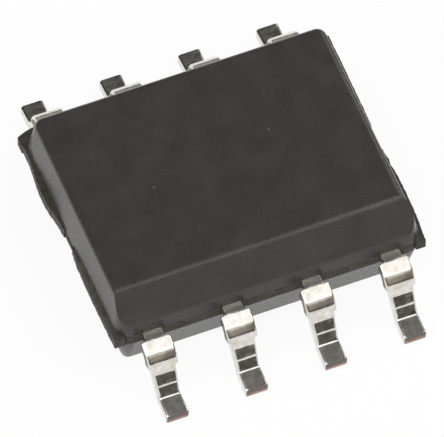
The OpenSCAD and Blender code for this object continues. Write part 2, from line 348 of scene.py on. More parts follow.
# %% Tool marks: fine scratches along the lead
SCRATCHES_PER_MM = 40
tool_marks, nodes, links, given, result = new_group("tool marks", {"Squeeze": 0.08}, ["Marks"])
squeeze = nodes.new("ShaderNodeCombineXYZ")
squeeze.inputs["X"].default_value = 1
links.new(given.outputs["Squeeze"], squeeze.inputs["Y"])
links.new(given.outputs["Squeeze"], squeeze.inputs["Z"])
squeezed = nodes.new("ShaderNodeVectorMath")
squeezed.operation = "MULTIPLY"
links.new(millimetres(nodes, links), squeezed.inputs[0])
links.new(squeeze.outputs[0], squeezed.inputs[1])
scratches = nodes.new("ShaderNodeTexNoise")
scratches.inputs["Scale"].default_value = SCRATCHES_PER_MM
scratches.inputs["Detail"].default_value = 3
links.new(squeezed.outputs[0], scratches.inputs["Vector"])
links.new(scratches.outputs["Fac"], result.inputs["Marks"])
print(tool_marks.name, "has", len(nodes), "nodes")

# %% [markdown]
# ## The resin
# Moulding compound is epoxy full of ground silica, coloured with carbon. It is
# matte and nearly black, a little cloudy, with a pale grain of filler showing here
# and there. Where it tore away from the mould as flash it is browner and rough.
# Both are one recipe with other numbers, so one function mixes them.

# %% Blend colours and masks
RAMP_START, RAMP_END = 0.3, 0.7
print("a mask turns one shade into the other from", RAMP_START, "to", RAMP_END)


def principled(name):
    """Starts a material with one Principled surface, and returns the surface too."""
    material, nodes, links = new_material(name)
    surface = nodes.new("ShaderNodeBsdfPrincipled")
    out = nodes.new("ShaderNodeOutputMaterial")
    links.new(surface.outputs[0], out.inputs["Surface"])
    return material, nodes, links, surface


def ramp(nodes, links, mask, low, high, start=RAMP_START, end=RAMP_END):
    """Mixes two colours by a mask, from start to end of its range."""
    node = nodes.new("ShaderNodeValToRGB")
    first, last = node.color_ramp.elements
    first.position, last.position = start, end
    first.color, last.color = (*low, 1), (*high, 1)
    links.new(mask, node.inputs["Fac"])
    return node.outputs["Color"]


def over(nodes, links, mask, under, colour):
    """Lays a plain colour over another by a mask."""
    node = nodes.new("ShaderNodeMix")
    node.data_type = "RGBA"
    node.inputs["B"].default_value = (*colour, 1)
    links.new(mask, node.inputs["Factor"])
    links.new(under, node.inputs["A"])
    return node.outputs["Result"]


def spread(nodes, links, mask, low, high):
    """Stretches a mask, which runs from 0 to 1, so that it runs from low to high."""
    node = nodes.new("ShaderNodeMapRange")
    node.inputs["To Min"].default_value = low
    node.inputs["To Max"].default_value = high
    links.new(mask, node.inputs["Value"])
    return node.outputs["Result"]


def bumped(nodes, links, height, depth):
    """Turns a height mask into a normal, with its full depth in millimetres."""
    node = nodes.new("ShaderNodeBump")
    node.inputs["Distance"].default_value = depth * MM
    node.inputs["Strength"].default_value = 1
    links.new(height, node.inputs["Height"])
    return node.outputs["Normal"]


# %% Mix the two resins
SPECK_COLOUR = (0.13, 0.125, 0.12)
EPOXY_IOR = 1.5
DUST_SHEEN, DUST_ROUGHNESS = 0.2, 0.35


def resin(name, dark, pale, roughness, depth, **sizes):
    """A silica-filled epoxy between two shades."""
    material, nodes, links, surface = principled(name)
    pattern = use_group(nodes, mottling, **sizes)
    shade = ramp(nodes, links, pattern.outputs["Clouds"], dark, pale)
    shade = over(nodes, links, pattern.outputs["Specks"], shade, SPECK_COLOUR)
    links.new(shade, surface.inputs["Base Color"])
    links.new(spread(nodes, links, pattern.outputs["Grit"], *roughness), surface.inputs["Roughness"])
    links.new(bumped(nodes, links, pattern.outputs["Grit"], depth), surface.inputs["Normal"])
    surface.inputs["IOR"].default_value = EPOXY_IOR
    surface.inputs["Sheen Weight"].default_value = DUST_SHEEN
    surface.inputs["Sheen Roughness"].default_value = DUST_ROUGHNESS
    return material


compound = resin("black compound", dark=(0.029, 0.027, 0.0265), pale=(0.043, 0.04, 0.036),
                 roughness=(0.21, 0.34), depth=0.004,
                 Cloud_size=0.45, Grit_size=0.035, Speck_size=0.22, Speck_share=0.02)
torn_resin = resin("torn resin", dark=(0.018, 0.016, 0.010), pale=(0.05, 0.044, 0.032),
                   roughness=(0.6, 0.9), depth=0.02,
                   Cloud_size=0.16, Grit_size=0.03, Speck_size=0.06, Speck_share=0.03)
print("resins", compound.name, "and", torn_resin.name)

# %% [markdown]
# ## The metals
# The strip is plated with dull tin after moulding, and then trimmed, so the very
# end of each toe shows the bare copper alloy, with some tin smeared over its upper
# part. The stubs' sides were sheared before plating, and stay darker and rougher.
# Every metal but the cut ends has the tool marks, and clouds that change its shade and its gloss.

# %% Plate the leads
METAL_CLOUDS = 0.12


def metal(name, dark, pale, roughness, squeeze, depth, swell=0):
    """A metal between two shades, with tool marks, and clouds that are swell times as deep."""
    material, nodes, links, surface = principled(name)
    surface.inputs["Metallic"].default_value = 1
    clouds = use_group(nodes, mottling, Cloud_size=METAL_CLOUDS).outputs["Clouds"]
    marks = use_group(nodes, tool_marks, Squeeze=squeeze).outputs["Marks"]
    height = maths(nodes, links, "MULTIPLY_ADD", clouds, swell, marks)
    links.new(ramp(nodes, links, clouds, dark, pale), surface.inputs["Base Color"])
    links.new(spread(nodes, links, clouds, *roughness), surface.inputs["Roughness"])
    links.new(bumped(nodes, links, height, depth), surface.inputs["Normal"])
    return material


plating = metal("tin plating", dark=(0.6, 0.57, 0.5), pale=(0.83, 0.81, 0.77),
                roughness=(0.1, 0.2), squeeze=0.08, depth=0.0006, swell=5)
sheared_side = metal("sheared side", dark=(0.12, 0.115, 0.075), pale=(0.24, 0.22, 0.16),
                     roughness=(0.35, 0.55), squeeze=0.3, depth=0.002)
print("metals", plating.name, "and", sheared_side.name)

# %% Bare the cut ends
CUT_ROUGHNESS, CUT_GRAIN = 0.5, 0.001
SMEAR_FROM, SMEAR_TO, SMEAR_WAVER = 0.08, 0.17, 0.14


def cut_metal(name, bare, smeared):
    """The sheared end of a lead: bare copper below, plating smeared over it above."""
    material, nodes, links, surface = principled(name)
    surface.inputs["Metallic"].default_value = 1
    surface.inputs["Roughness"].default_value = CUT_ROUGHNESS
    pattern = use_group(nodes, mottling, Cloud_size=0.3, Grit_size=0.02)
    place = nodes.new("ShaderNodeSeparateXYZ")
    links.new(millimetres(nodes, links), place.inputs[0])
    height = maths(nodes, links, "MULTIPLY_ADD", pattern.outputs["Clouds"], SMEAR_WAVER, place.outputs["Z"])
    shade = ramp(nodes, links, height, bare, smeared, SMEAR_FROM, SMEAR_TO)
    links.new(shade, surface.inputs["Base Color"])
    links.new(bumped(nodes, links, pattern.outputs["Grit"], CUT_GRAIN), surface.inputs["Normal"])
    return material


cut_copper = cut_metal("cut copper", bare=(0.55, 0.34, 0.28), smeared=(0.16, 0.135, 0.12))
print("cut ends are", cut_copper.name)

# %% [markdown]
# ## The moulded body
# The two halves of the mould part at the lead frame, so the walls lean in above and
# below it to let the body go. A drafted wall is an inset: the plan outline moves in
# by the draft while it rises. A rounded edge is a few more insets along an arc.
# Starting from one flat face keeps every ring in step, corners included.

# %% The body's sizes
BODY_LENGTH, BODY_WIDTH = 4.9, 3.9
BODY_BASE, BODY_TOP = 0.15, 1.6
LEAD_TOP, LEAD_THICKNESS = 0.975, 0.2
LEAD_UNDER = LEAD_TOP - LEAD_THICKNESS
UPPER_DRAFT, LOWER_DRAFT = 11, 14.5
EDGE_RADIUS, EDGE_STEPS = 0.1, 8
CORNER_REACH, CORNER_STEPS = 0.259, 10
CLOSE = 0.001
top_half_width = BODY_WIDTH / 2 - (BODY_TOP - LEAD_TOP) * math.tan(math.radians(UPPER_DRAFT))
print("top face is", round(2 * top_half_width, 3), "mm deep before its bevel")


# %% Raise a drafted wall with a rounded edge
def plan_face():
    """Starts a bmesh with the body's flat outline, whose corners are round, at the leads' underside."""
    bm = bmesh.new()
    bmesh.ops.create_grid(bm, x_segments=1, y_segments=1, size=0.5)
    bmesh.ops.scale(bm, vec=(BODY_LENGTH, BODY_WIDTH, 1), verts=bm.verts)
    bmesh.ops.translate(bm, vec=(0, 0, LEAD_UNDER), verts=bm.verts)
    bmesh.ops.bevel(bm, geom=list(bm.verts), offset=CORNER_REACH, segments=CORNER_STEPS, profile=0.5,
                    affect="VERTICES", material=-1)
    return bm


def drafted_wall(bm, face, height, draft):
    """Insets a face along its normal into a leaning wall and a rounded edge."""
    slope = math.radians(draft)
    reach_in = height * math.tan(slope) + EDGE_RADIUS * (1 - math.sin(slope)) / math.cos(slope)
    ring = [(0, 0)]
    for i in range(EDGE_STEPS + 1):
        a = slope + (math.pi / 2 - slope) * i / EDGE_STEPS
        ring.append((reach_in - EDGE_RADIUS * math.cos(a), height - EDGE_RADIUS * (1 - math.sin(a))))
    for (near, low), (far, high) in zip(ring, ring[1:]):
        bmesh.ops.inset_region(bm, faces=[face], thickness=far - near, depth=high - low,
                               use_even_offset=True)


body = plan_face()
band = bmesh.ops.extrude_face_region(body, geom=list(body.faces))["geom"]
bmesh.ops.translate(body, vec=(0, 0, LEAD_THICKNESS), verts=corners_of(band))
bmesh.ops.recalc_face_normals(body, faces=body.faces)
underside, top = sorted((f for f in body.faces if abs(f.normal.z) > 1 - CLOSE),
                        key=lambda f: f.calc_center_median().z)
drafted_wall(body, underside, LEAD_UNDER - BODY_BASE, LOWER_DRAFT)
drafted_wall(body, top, BODY_TOP - LEAD_TOP, UPPER_DRAFT)
print("the block has", len(body.faces), "faces before its bevel")

# %% [markdown]
# ## The bevel
# A long bevel marks the side of leads 1 to 4, and its two edges are softly rounded.
# It crosses the rounded corners, where a bevel of single edges would fold over
# itself. Slicing with planes has no such trouble: one cut makes the bevel, and a
# fan of cuts that all touch one arc makes each rounding. Two last cuts take nothing
# away: they part the broad faces from the strips beside the long edges. The band
# level with the leads, where the mould halves part, gets the torn resin.

# %% Cut the bevel and round its edges
BEVEL_WIDTH, BEVEL_TILT = 0.35, 45
UPPER_RADIUS, LOWER_RADIUS = 0.14, 0.1
NEAR_RIM, FAR_RIM = 0.15, 0.4
ON_PLANE = 1e-5


def leaning(tilt):
    """The outward direction of a face that leans over the first four leads' side."""
    return Vector((0, -math.sin(math.radians(tilt)), math.cos(math.radians(tilt))))


def everything(bm):
    """All of a bmesh's geometry, for a cut right through it."""
    return bm.verts[:] + bm.edges[:] + bm.faces[:]


def shave(bm, tilt, point):
    """Cuts away all that lies beyond a leaning plane and closes the cut."""
    cut = bmesh.ops.bisect_plane(bm, geom=everything(bm), dist=ON_PLANE, plane_co=point,
                                 plane_no=leaning(tilt), clear_outer=True)
    bmesh.ops.contextual_create(bm, geom=[e for e in cut["geom_cut"] if isinstance(e, bmesh.types.BMEdge)])


def shave_round(bm, first, second, corner, radius, steps):
    """Rounds the edge between two leaning planes with cuts that touch one arc."""
    centre = corner - leaning((first + second) / 2) * radius / math.cos(math.radians(second - first) / 2)
    for i in range(1, steps):
        tilt = first + (second - first) * i / steps
        shave(bm, tilt, centre + leaning(tilt) * radius)


def cut_bevel(bm):
    """Slices the long top edge of the first four leads' side, as far in as down."""
    slope = math.tan(math.radians(UPPER_DRAFT))
    upper = Vector((0, BEVEL_WIDTH - top_half_width, BODY_TOP))
    z = (top_half_width - BEVEL_WIDTH + BODY_TOP - BODY_WIDTH / 2 - LEAD_TOP * slope) / (1 - slope)
    lower = Vector((0, upper.y - (BODY_TOP - z), z))
    print("bevel runs from z", round(lower.z, 3), "to", round(upper.z, 3))
    shave(bm, BEVEL_TILT, upper)
    shave_round(bm, 0, BEVEL_TILT, upper, UPPER_RADIUS, steps=9)
    shave_round(bm, BEVEL_TILT, 90 - UPPER_DRAFT, lower, LOWER_RADIUS, steps=6)


cut_bevel(body)
for y in (BEVEL_WIDTH - top_half_width + NEAR_RIM, BODY_WIDTH / 2 - FAR_RIM):
    bmesh.ops.bisect_plane(body, geom=everything(body), dist=ON_PLANE, plane_co=(0, y, 0),
                           plane_no=(0, 1, 0))
for face in body.faces:
    if all(LEAD_UNDER - CLOSE < v.co.z < LEAD_TOP + CLOSE for v in face.verts):
        face.material_index = 1
keep(body, "moulded_block", "moulding compound", "moulded_body", [compound, torn_resin])

# %% [markdown]
# ## The flash
# Resin creeps out between the mould halves and stays along both ends as a ragged
# skin as thick as the lead frame, broken off where the tie bar was cut. A fine grid
# strip has enough vertices along its outer row to follow that edge: each one takes
# its reach from a few measured stations, with a little seeded noise for the raggedness.

# %% Make a ragged strip
LEFT_FLASH = [[(-1.94, 0.05), (-1.7, 0.058), (-1.2, 0.062), (-0.8, 0.062), (-0.4, 0.052), (-0.13, 0.03)],
              [(0.19, 0.03), (0.39, 0.044), (0.53, 0.06), (0.66, 0.088), (0.83, 0.1), (1.0, 0.1),
               (1.16, 0.09), (1.38, 0.066), (1.6, 0.045), (1.9, 0.046), (2.01, 0.064)]]
RIGHT_FLASH = [[(-1.95, 0.04), (-1.8, 0.048), (-1.7, 0.06), (-1.48, 0.075), (-1.36, 0.083),
                (-1.0, 0.084), (-0.86, 0.085), (-0.76, 0.084), (-0.61, 0.072), (-0.52, 0.06),
                (-0.42, 0.07), (-0.35, 0.06), (-0.2, 0.052)],
               [(0.19, 0.04), (0.3, 0.055), (0.5, 0.06), (1.0, 0.062), (1.5, 0.066), (1.9, 0.06),
                (2.02, 0.05)]]
LEFT_BANKS, RIGHT_BANKS = (0.1, 0.04), (0.04, 0.04)
FLASH_ROOT, LEAST_REACH, STEP_ALONG, LEAST_STEPS = 0.12, 0.006, 0.03, 8
SKIN_IN, TOP_WAVER, BANK_WAVER, BANK_FADE = 0.004, 0.006, 0.4, 0.6
JAGS = ((0.009, 9, 0), (0.005, 31, 2))
WAVERS_ACROSS, WAVERS_ALONG = 14, 9


def reach_at(stations, y):
    """Straight-line reading of the flash's reach between its stations."""
    for (y0, r0), (y1, r1) in zip(stations, stations[1:]):
        if y <= y1:
            return r0 + (r1 - r0) * max(0, y - y0) / (y1 - y0)
    return stations[-1][1]


def jagged(y, seed):
    """A waver along the strip: each jag has its size, its number to the mm and its own noise."""
    return sum(size * noise.noise(Vector((y * per_mm, seed, row))) for size, per_mm, row in JAGS)


def ragged_strip(bm, side, stations, seed, bank):
    """Adds one strip of flash to bm, on the end at -X or +X, banked up against the wall."""
    low, high = stations[0][0], stations[-1][0]
    count = max(LEAST_STEPS, round((high - low) / STEP_ALONG))
    inner = BODY_LENGTH / 2 - FLASH_ROOT
    grid = bmesh.ops.create_grid(bm, x_segments=2, y_segments=count, size=0.5)["verts"]
    for v in grid:
        y = low + (v.co.y + 0.5) * (high - low)
        row = v.co.x + 0.5
        outward = reach_at(stations, y) + jagged(y, seed) - LEAST_REACH
        reach = BODY_LENGTH / 2 + max(LEAST_REACH, outward)
        v.co = Vector((side * (inner + (reach - inner) * row), y, LEAD_UNDER + SKIN_IN))
    faces = list(dict.fromkeys(f for v in grid for f in v.link_faces))
    raised = bmesh.ops.extrude_face_region(bm, geom=faces)["geom"]
    for v in corners_of(raised):
        ragged = noise.noise(Vector((v.co.x * WAVERS_ACROSS, v.co.y * WAVERS_ALONG, seed)))
        v.co.z = LEAD_TOP - SKIN_IN + TOP_WAVER * ragged
        if abs(v.co.x) < BODY_LENGTH / 2 + CLOSE:
            fade = min(1, (BODY_WIDTH / 2 - abs(v.co.y)) / CORNER_REACH, abs(v.co.y) / BANK_FADE)
            v.co.z += bank * (1 + BANK_WAVER * ragged) * fade


# %% [markdown]
# Flash also fills the two corners beyond the last lead of the far row, out to the
# side of that lead. It is a flat web with a torn outline, so it is drawn as one
# face and raised to the height of the lead frame.

# %% Fill the far corners and keep the flash
CORNER_WEB, WEB_REACH, WEB_IN = 0.15, 0.06, 0.005
TORN_BY, TEARS_PER_MM = 0.006, 20


def corner_web(bm, side):
    """Adds the flash that fills a +Y corner, up to the side of the last lead."""
    inner, outer, far = 2.1, BODY_LENGTH / 2 + WEB_REACH, BODY_WIDTH / 2 + CORNER_WEB
    outline = [(inner, 1.7), (2.4, 1.7), (outer, 1.85), (outer, BODY_WIDTH / 2 + 0.4 * CORNER_WEB),
               (outer - 0.05, BODY_WIDTH / 2 + 0.55 * CORNER_WEB), (2.37, far - 0.035), (2.28, far - 0.01),
               (2.19, far), (inner, far - 0.012)]
    corners = []
    for x, y in outline:
        torn = TORN_BY * noise.noise(Vector((x * TEARS_PER_MM, y * TEARS_PER_MM, side)))
        corners.append(bm.verts.new((side * (x + torn), y, LEAD_UNDER + WEB_IN)))
    raised = bmesh.ops.extrude_face_region(bm, geom=[bm.faces.new(corners)])["geom"]
    bmesh.ops.translate(bm, vec=(0, 0, LEAD_THICKNESS - 2 * WEB_IN), verts=corners_of(raised))


for side, strips, banks, name in ((-1, LEFT_FLASH, LEFT_BANKS, "left_flash"),
                                  (1, RIGHT_FLASH, RIGHT_BANKS, "right_flash")):
    flash = bmesh.new()
    for i, (stations, bank) in enumerate(zip(strips, banks)):
        ragged_strip(flash, side, stations, i + 3 * side, bank)
    corner_web(flash, side)
    keep(flash, name, "moulding compound", "moulded_body", [torn_resin], sharp=50)

# %% [markdown]
# ## The leads
# Each lead was stamped flat and then bent in a press, and its mesh is made in the
# same order. A flat finger, which the resin holds, is given its thickness. Its outer
# end has rounded edges, and that end face is drawn on row by row along a bent path,
# as a press feeds a strip. Each row may also be wider or narrower than the last,
# which makes the stubs left by the cut dam bar, and the round corners of the toe.

# %% The lead's sizes
LEAD_PITCH, LEAD_SPAN, LEADS_A_SIDE = 1.27, 6.0, 4
SHOULDER_LENGTH, STUB_TILT, KNEE_TILT, RISER_TILT, LOWER_TILT, FOOT_TILT = 0.12, 20, 50, 74, 58, 5
FIRST_BEND, KNEE_BEND, HEEL_BEND = 0.15, 0.13, 0.14
KNEE_STRAIGHT, RISER_STRAIGHT, EASING, FOOT_STRAIGHT = 0.06, 0.16, 0.05, 0.3
MARK_WIDTH, MARK_TILT = 0.014, 9
LOCK_DEPTH, ROW_START_OUT = 0.2, 0.05
ROW_START = BODY_WIDTH / 2 - LOCK_DEPTH + ROW_START_OUT
middle = LEAD_THICKNESS / 2
print("the strip starts", round(BODY_WIDTH / 2 - ROW_START, 3), "mm inside the wall")

# %% [markdown]
# The path is a list of pieces, each with its length along the middle of the strip
# and the angle that it bends through. Two of the straight lengths are unknown: they
# are solved so that the toe stands on the board at the right span. Where a row
# falls on the path, `stand` gives the row's place and its tilt. Halfway down the
# riser the bending tool left a narrow line, which is a short step in the tilt.

# %% Lay out the bent path
def bend(radius, turn):
    """A piece that turns through this angle, in degrees, on this radius."""
    return (radius * math.radians(abs(turn)), turn)


def path(stub_straight, lower_straight):
    """All pieces of the strip from the resin to the toe."""
    return [(BODY_WIDTH / 2 + SHOULDER_LENGTH - ROW_START, 0), bend(FIRST_BEND, STUB_TILT),
            (stub_straight, 0), bend(KNEE_BEND, KNEE_TILT - STUB_TILT),
            (KNEE_STRAIGHT, 0), bend(KNEE_BEND, RISER_TILT - KNEE_TILT),
            (RISER_STRAIGHT, 0), (EASING, LOWER_TILT - RISER_TILT), (lower_straight / 2, 0),
            (MARK_WIDTH, MARK_TILT), (MARK_WIDTH, 0), (MARK_WIDTH, -MARK_TILT),
            (lower_straight / 2, 0), bend(HEEL_BEND, FOOT_TILT - LOWER_TILT), (FOOT_STRAIGHT, 0)]


def stand(distance, pieces):
    """Place and tilt, in degrees, at a distance along the middle of the strip."""
    y, z, tilt = ROW_START, LEAD_TOP - middle, 0
    for length, turn in pieces:
        part = min(distance, length)
        if part > 0:
            swing = turn * part / length
            chord = part
            if turn:
                chord = 2 * length / math.radians(turn) * math.sin(math.radians(swing / 2))
            heading = math.radians(tilt + swing / 2)
            y, z, tilt = y + chord * math.cos(heading), z - chord * math.sin(heading), tilt + swing
        distance -= part
    return y, z, tilt


def solve_straights():
    """The stub's and the lower riser's straight lengths, from the span and the drop."""
    foot = math.radians(FOOT_TILT)
    bare = path(0, 0)
    end_y, end_z, _ = stand(sum(length for length, _ in bare), bare)
    left_y = LEAD_SPAN / 2 - middle * math.sin(foot) - end_y
    left_z = end_z - middle * math.cos(foot)
    a, b = math.radians(STUB_TILT), math.radians(LOWER_TILT)
    lower = (left_z * math.cos(a) - left_y * math.sin(a)) / math.sin(b - a)
    return (left_y - lower * math.cos(b)) / math.cos(a), lower


PATH = path(*solve_straights())
ENDS = [sum(length for length, _ in PATH[:i + 1]) for i in range(len(PATH))]
PATH_LENGTH = ENDS[-1]
print("straights", [round(v, 4) for v in solve_straights()], "strip", round(PATH_LENGTH, 3), "mm long")

# %% [markdown]
# The strip is narrow where the resin holds it, wide at the stub where the dam bar
# was, and narrower again down the riser. Small fillets join those widths, since no
# punch has a sharp inner corner. A width for every distance along the path says all
# this in one place, and rows are then closer together wherever it changes fast.

# %% Give the strip its width along the path
ROOT_WIDTH, STUB_WIDTH, RISER_WIDTH, FOOT_WIDTH, FOOT_FLARE = 0.33, 0.47, 0.39, 0.365, 0.022
ROOT_FILLET, RISER_FILLET = 0.045, 0.0225
ROOT_FILLET_RISE, RISER_FILLET_RISE = 0.7, 0.6
STUB_CORNER, TOE_CORNER = 0.015, 0.012
SHOULDER, FIRST_CURVE, LOWER_KNEE, LOWER_RISER = 0, 1, 5, 12
STUB_OVERLAP = 0.4
stub_from = ENDS[SHOULDER] + STUB_OVERLAP * PATH[FIRST_CURVE][0]
stub_to = ENDS[LOWER_KNEE] + STUB_OVERLAP * RISER_STRAIGHT
heel_from = ENDS[LOWER_RISER]


def rise(share):
    """How far a quarter of a circle has risen at this share of its run."""
    return 1 - math.sqrt(1 - share * share)


def half_width(d):
    """Half the strip's width at a distance along it."""
    if d < stub_from:
        into = max(0, d - (stub_from - ROOT_FILLET)) / ROOT_FILLET
        return ROOT_WIDTH / 2 + ROOT_FILLET_RISE * ROOT_FILLET * rise(into)
    if d <= stub_to:
        edge = min(d - stub_from, stub_to - d, STUB_CORNER) / STUB_CORNER
        return STUB_WIDTH / 2 - STUB_CORNER * rise(1 - edge)
    if d < heel_from:
        along = (d - stub_to) / (heel_from - stub_to)
        into = max(0, stub_to + RISER_FILLET - d) / RISER_FILLET
        width = RISER_WIDTH + (FOOT_WIDTH - FOOT_FLARE - RISER_WIDTH) * along
        return width / 2 + RISER_FILLET_RISE * RISER_FILLET * rise(into)
    near_toe = max(0, TOE_CORNER - (PATH_LENGTH - d)) / TOE_CORNER
    flare = FOOT_FLARE * (PATH_LENGTH - d) / (PATH_LENGTH - heel_from)
    return (FOOT_WIDTH - flare) / 2 - TOE_CORNER * rise(near_toe)


for name, d in (("stub starts", stub_from), ("stub ends", stub_to), ("heel starts", heel_from),
                ("toe", PATH_LENGTH)):
    y, z, tilt = stand(d, PATH)
    top_y = y + middle * math.sin(math.radians(tilt))
    top_z = z + middle * math.cos(math.radians(tilt))
    print(name, "at", round(top_y, 3), round(top_z, 3), "tilted", round(tilt, 1), "and",
          round(2 * half_width(d), 3), "mm wide")

# %% Choose where the rows stand
TURN_PER_ROW, ROW_LENGTH, LEAST_ROW, STUB_EDGE = 2.5, 0.06, 0.0012, 0.002
QUARTER = math.pi / 2


def rows():
    """Distances of all rows: closer on bends, at the stubs' ends and at the toe."""
    found = []
    before = 0
    for length, turn in PATH:
        count = max(2, round(abs(turn) / TURN_PER_ROW), round(length / ROW_LENGTH))
        found += [before + length * i / count for i in range(count)]
        before += length
    for start, inward in ((stub_from, 1), (stub_to, -1)):
        found += [start - inward * ROOT_FILLET * (1 - math.sin(QUARTER * i / 6)) for i in range(6)]
        found += [start - inward * STUB_EDGE, start]
        found += [start + inward * STUB_CORNER * (1 - math.cos(QUARTER * i / 4)) for i in range(1, 5)]
    found += [PATH_LENGTH - TOE_CORNER * (1 - math.sin(QUARTER * i / 6)) for i in range(7)]
    found = sorted(d for d in found if 0 < d < PATH_LENGTH - LEAST_ROW)
    return [b for a, b in zip([0] + found, found) if b - a > LEAST_ROW] + [PATH_LENGTH]


ROWS = rows()
print(len(ROWS), "rows")

# %% [markdown]
# The flat finger inside the resin is wider than the strip, so that it can't be
# pulled out, and a corner lead turns towards the die. Only the very start of the
# strip is bevelled, since every row after it repeats that rounded section. A punch
# pulls the upper edges down with it, so those two are rounder than the lower ones.

# %% Stamp the finger
FINGER_WIDTH, INNER_END = 0.46, 1.05
CORNER_END_AT, CORNER_END_SIZE = (1.45, 0.75), (0.4, 0.5)
LOWER_EDGE, ROLLED_EDGE, EDGE_ROUNDING = 0.028, 0.045, 5


def flat_outline(x, corner):
    """Outline of the finger in the resin, up to the strip's first row."""
    half, wide, step = ROOT_WIDTH / 2, FINGER_WIDTH / 2, BODY_WIDTH / 2 - LOCK_DEPTH
    inner = [(x - wide, INNER_END), (x + wide, INNER_END)]
    if corner:
        (x0, y0), (w, h) = CORNER_END_AT, CORNER_END_SIZE
        inner = [(x0, y0 + h), (x0, y0), (x0 + w, y0), (x + wide, y0 + h)]
    return ([(x - half, ROW_START), (x - half, step), (x - wide, step)] + inner
            + [(x + wide, step), (x + half, step), (x + half, ROW_START)])


def outer_end(bm):
    """The face that looks out of the body, furthest from its middle."""
    return max(bm.faces, key=lambda f: f.normal.y * f.calc_center_median().y)


def finger(x):
    """A bmesh of the finger, and the face that the strip grows from."""
    bm = bmesh.new()
    outline = flat_outline(x, corner=x > LEAD_PITCH)
    flat = bm.faces.new([bm.verts.new((px, py, LEAD_UNDER)) for px, py in outline])
    raised = bmesh.ops.extrude_face_region(bm, geom=[flat])["geom"]
    bmesh.ops.translate(bm, vec=(0, 0, LEAD_THICKNESS), verts=corners_of(raised))
    bmesh.ops.recalc_face_normals(bm, faces=bm.faces)
    for z, radius in ((LEAD_UNDER, LOWER_EDGE), (LEAD_TOP, ROLLED_EDGE)):
        end = outer_end(bm)
        along = [e for v in end.verts for e in v.link_edges
                 if e not in end.edges[:] and all(abs(w.co.z - z) < CLOSE for w in e.verts)]
        bmesh.ops.bevel(bm, geom=along, offset=radius, offset_type="OFFSET", segments=EDGE_ROUNDING,
                        profile=0.5, affect="EDGES", clamp_overlap=True, material=-1)
        bm.normal_update()
    return bm, outer_end(bm)


stamped, _ = finger(LEAD_PITCH / 2)
print("a middle finger has", len(stamped.faces), "faces before its strip")
stamped.free()

# %% [markdown]
# Each row is the last one carried on. The end face is extruded, swung by the change
# in tilt and set down at the new place, and then its two halves move apart or
# together by the change in width. The toe's end face is the cut copper. The stub's
# sides, which lie further out than the rest of the strip, are the sheared metal.

# %% Draw the strips on and keep the leads
def draw_strip(bm, face, x):
    """Feeds the end face through every row, bent and widened as the path says."""
    last_y, last_z, last_tilt = stand(0, PATH)
    last_half = half_width(0)
    for d in ROWS:
        y, z, tilt = stand(d, PATH)
        half = half_width(d)
        face = bmesh.ops.extrude_discrete_faces(bm, faces=[face])["faces"][0]
        swing = Matrix.Rotation(math.radians(last_tilt - tilt), 4, "X")
        carried = Matrix.Translation((0, y, z)) @ swing @ Matrix.Translation((0, -last_y, -last_z))
        bmesh.ops.transform(bm, verts=face.verts, matrix=carried)
        for v in face.verts:
            v.co.x += (half - last_half) * math.copysign(1, v.co.x - x)
        last_y, last_z, last_tilt, last_half = y, z, tilt, half
    return face


def form_lead(number):
    """Builds a lead in its place in its row."""
    place = ((LEADS_A_SIDE - 1) / 2 - (number - 1) % LEADS_A_SIDE) * LEAD_PITCH
    x = abs(place)
    bm, face = finger(x)
    toe = draw_strip(bm, face, x)
    toe.material_index = 1
    for face in bm.faces:
        if abs(face.calc_center_median().x - x) > STUB_WIDTH / 2 - CLOSE:
            face.material_index = 2
    if place < 0:
        bmesh.ops.scale(bm, vec=(-1, 1, 1), verts=bm.verts)
        bmesh.ops.reverse_faces(bm, faces=bm.faces)
    if number <= LEADS_A_SIDE:
        bmesh.ops.rotate(bm, cent=(0, 0, 0), matrix=Matrix.Rotation(math.pi, 3, "Z"), verts=bm.verts)
    return bm


for number in range(1, 2 * LEADS_A_SIDE + 1):
    keep(form_lead(number), "formed_lead_%d" % number, "plated lead", "lead_%d" % number,
         [plating, cut_copper, sheared_side], sharp=10)

# %% [markdown]
# ## The parts inside
# The solids that the resin hides have the right shape already, so they stay as
# they are and only get their finishes: bare rolled copper for the paddle, adhesive
# grey with silver, polished silicon, and drawn gold wire.

# %% Finish the parts inside
bare_copper = metal("bare copper", dark=(0.6, 0.34, 0.22), pale=(0.72, 0.44, 0.3),
                    roughness=(0.25, 0.4), squeeze=0.08, depth=0.0006)
silver_adhesive = resin("silver-filled adhesive", dark=(0.3, 0.3, 0.31), pale=(0.5, 0.5, 0.51),
                        roughness=(0.4, 0.6), depth=0.002,
                        Cloud_size=0.2, Grit_size=0.02, Speck_size=0.05, Speck_share=0.05)
silicon = metal("polished silicon", dark=(0.13, 0.14, 0.17), pale=(0.17, 0.18, 0.22),
                roughness=(0.06, 0.12), squeeze=1, depth=0.0001)
gold = metal("drawn gold", dark=(0.83, 0.6, 0.25), pale=(0.94, 0.72, 0.34),
             roughness=(0.12, 0.2), squeeze=0.3, depth=0.0002)
inside = {"die_paddle": bare_copper, "die_attach": silver_adhesive, "silicon_die": silicon}
for number in range(1, 2 * LEADS_A_SIDE + 1):
    inside["bond_wire_%d" % number] = gold
for node, finish in inside.items():
    solid = frame["nodes"][node].data
    solid.materials.clear()
    solid.materials.append(finish)
print("finished", len(inside), "solids inside, with", sorted({m.name for m in inside.values()}))

# %% [markdown]
# ## The floor
# The chip stands on a white table. What the camera and the shiny leads see of the
# floor is mostly plain white, and the rest is the lit floor itself, so the chip's
# own shadow stays on it. From below, the floor lets the view through.

